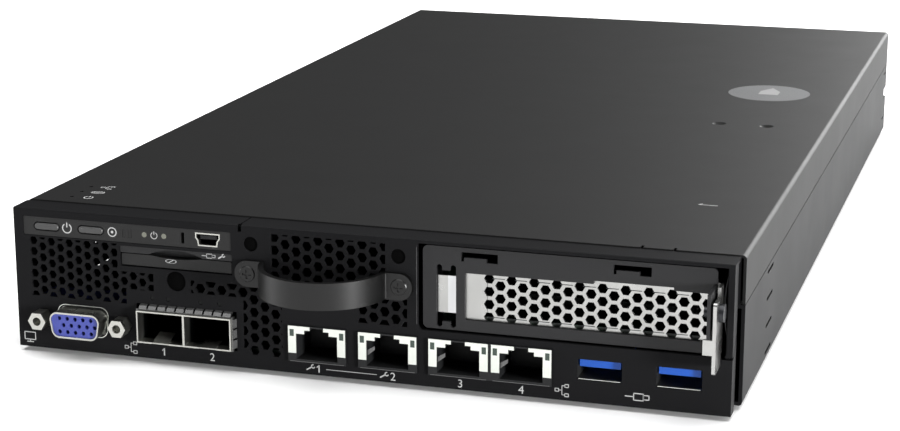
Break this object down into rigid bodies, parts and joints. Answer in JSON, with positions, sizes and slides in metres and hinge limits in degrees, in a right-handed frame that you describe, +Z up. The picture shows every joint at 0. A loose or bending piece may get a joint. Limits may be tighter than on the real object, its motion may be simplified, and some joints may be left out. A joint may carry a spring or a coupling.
{
  "type": "edge server",
  "caption": "Short-depth half-width rack server with perforated front, ports, carrying handle, expansion bay, sliding top cover, pull-out tab and rear fans.",
  "frame": {"origin": "centre of the footprint, handle included, at the feet's underside", "axes": "+X to the right seen from the front, +Y to the rear, +Z up"},
  "size_m": [0.209, 0.3935, 0.0432],
  "materials": {
    "black_paint": "satin powder coat",
    "black_plastic": "fine texture",
    "grey_plastic": "fine texture",
    "strip_plastic": "fine texture",
    "pad_plastic": "matt",
    "rubber": "matt",
    "clear_plastic": "gloss",
    "plated_steel": "bright plated",
    "spring_steel": "satin",
    "blue_plastic": "satin",
    "violet_plastic": "satin",
    "circuit_board": "solder mask",
    "brass": "turned",
    "aluminium": "extruded",
    "pale_plastic": "matt"
  },
  "bodies": {
    "chassis": {"chassis_tray": "black_paint", "feet": "rubber", "front_panel": "black_paint", "operator_bezel": "strip_plastic", "operator_board": "circuit_board", "status_light_pipes": "clear_plastic", "service_shell": "plated_steel", "service_tongue": "black_plastic", "tab_housing": "black_plastic", "hole_plugs": "rubber", "vga_shell": "plated_steel", "vga_insert": "violet_plastic", "vga_jackscrews": "plated_steel", "module_cage": "plated_steel", "cage_gasket": "plated_steel", "module_plugs": "black_plastic", "cage_light_bars": "clear_plastic", "ethernet_jack_1": "plated_steel", "ethernet_jack_2": "plated_steel", "ethernet_jack_pair": "plated_steel", "jack_lamps": "clear_plastic", "usb_shells": "plated_steel", "usb_tongues": "blue_plastic", "handle": "black_paint", "handle_screws": "black_paint", "expansion_cage": "black_paint", "expansion_bracket": "plated_steel", "bracket_screw": "plated_steel", "bracket_clip": "spring_steel", "riser_card": "circuit_board", "riser_slot": "black_plastic", "expansion_card": "circuit_board", "data_drives": "circuit_board", "system_board": "circuit_board", "power_board": "circuit_board", "board_standoffs": "brass", "board_screws": "plated_steel", "processor": "plated_steel", "heatsink": "aluminium", "heatsink_screws": "plated_steel", "memory_sockets": "black_plastic", "memory_modules": "circuit_board", "air_duct": "black_plastic", "rear_panel": "black_paint", "power_inlets": "black_plastic", "fan_frames": "black_plastic", "fan_bracket": "plated_steel"},
    "cover": {"top_cover": "black_paint", "grip_pad": "pad_plastic"},
    "power_button": {"power_button": "grey_plastic"},
    "id_button": {"id_button": "grey_plastic"},
    "info_tab": {"info_tab": "black_plastic"},
    "fan_1_rotor": {"fan_1_rotor": "black_plastic"},
    "fan_2_rotor": {"fan_2_rotor": "black_plastic"},
    "fan_3_rotor": {"fan_3_rotor": "black_plastic"},
    "memory_latch_1": {"memory_latch_1": "pale_plastic"},
    "memory_latch_2": {"memory_latch_2": "pale_plastic"},
    "memory_latch_3": {"memory_latch_3": "pale_plastic"},
    "memory_latch_4": {"memory_latch_4": "pale_plastic"}
  },
  "joints": [
    {"name": "cover_slide", "type": "slide", "parent": "chassis", "child": "cover", "axis": [0, 1, 0], "range_m": [0, 0.012]},
    {"name": "power_button_press", "type": "slide", "parent": "chassis", "child": "power_button", "axis": [0, 1, 0], "range_m": [0, 0.0008], "stiffness_N_per_m": 2000},
    {"name": "id_button_press", "type": "slide", "parent": "chassis", "child": "id_button", "axis": [0, 1, 0], "range_m": [0, 0.0008], "stiffness_N_per_m": 2000},
    {"name": "info_tab_slide", "type": "slide", "parent": "chassis", "child": "info_tab", "axis": [0, -1, 0], "range_m": [0, 0.0451]},
    {"name": "fan_1_spin", "type": "hinge", "parent": "chassis", "child": "fan_1_rotor", "pos_m": [-0.0785, 0.18145, 0.0222], "axis": [0, 1, 0], "continuous": true},
    {"name": "fan_2_spin", "type": "hinge", "parent": "chassis", "child": "fan_2_rotor", "pos_m": [-0.0365, 0.18145, 0.0222], "axis": [0, 1, 0], "continuous": true},
    {"name": "fan_3_spin", "type": "hinge", "parent": "chassis", "child": "fan_3_rotor", "pos_m": [0.0055, 0.18145, 0.0222], "axis": [0, 1, 0], "continuous": true},
    {"name": "memory_latch_1_swing", "type": "hinge", "parent": "chassis", "child": "memory_latch_1", "pos_m": [-0.0605, 0.08495, 0.0115], "axis": [-1, 0, 0], "range_deg": [0, 30]},
    {"name": "memory_latch_2_swing", "type": "hinge", "parent": "chassis", "child": "memory_latch_2", "pos_m": [-0.07, 0.08495, 0.0115], "axis": [-1, 0, 0], "range_deg": [0, 30]},
    {"name": "memory_latch_3_swing", "type": "hinge", "parent": "chassis", "child": "memory_latch_3", "pos_m": [0.0435, 0.08495, 0.0115], "axis": [-1, 0, 0], "range_deg": [0, 30]},
    {"name": "memory_latch_4_swing", "type": "hinge", "parent": "chassis", "child": "memory_latch_4", "pos_m": [0.053, 0.08495, 0.0115], "axis": [-1, 0, 0], "range_deg": [0, 30]}
  ]
}
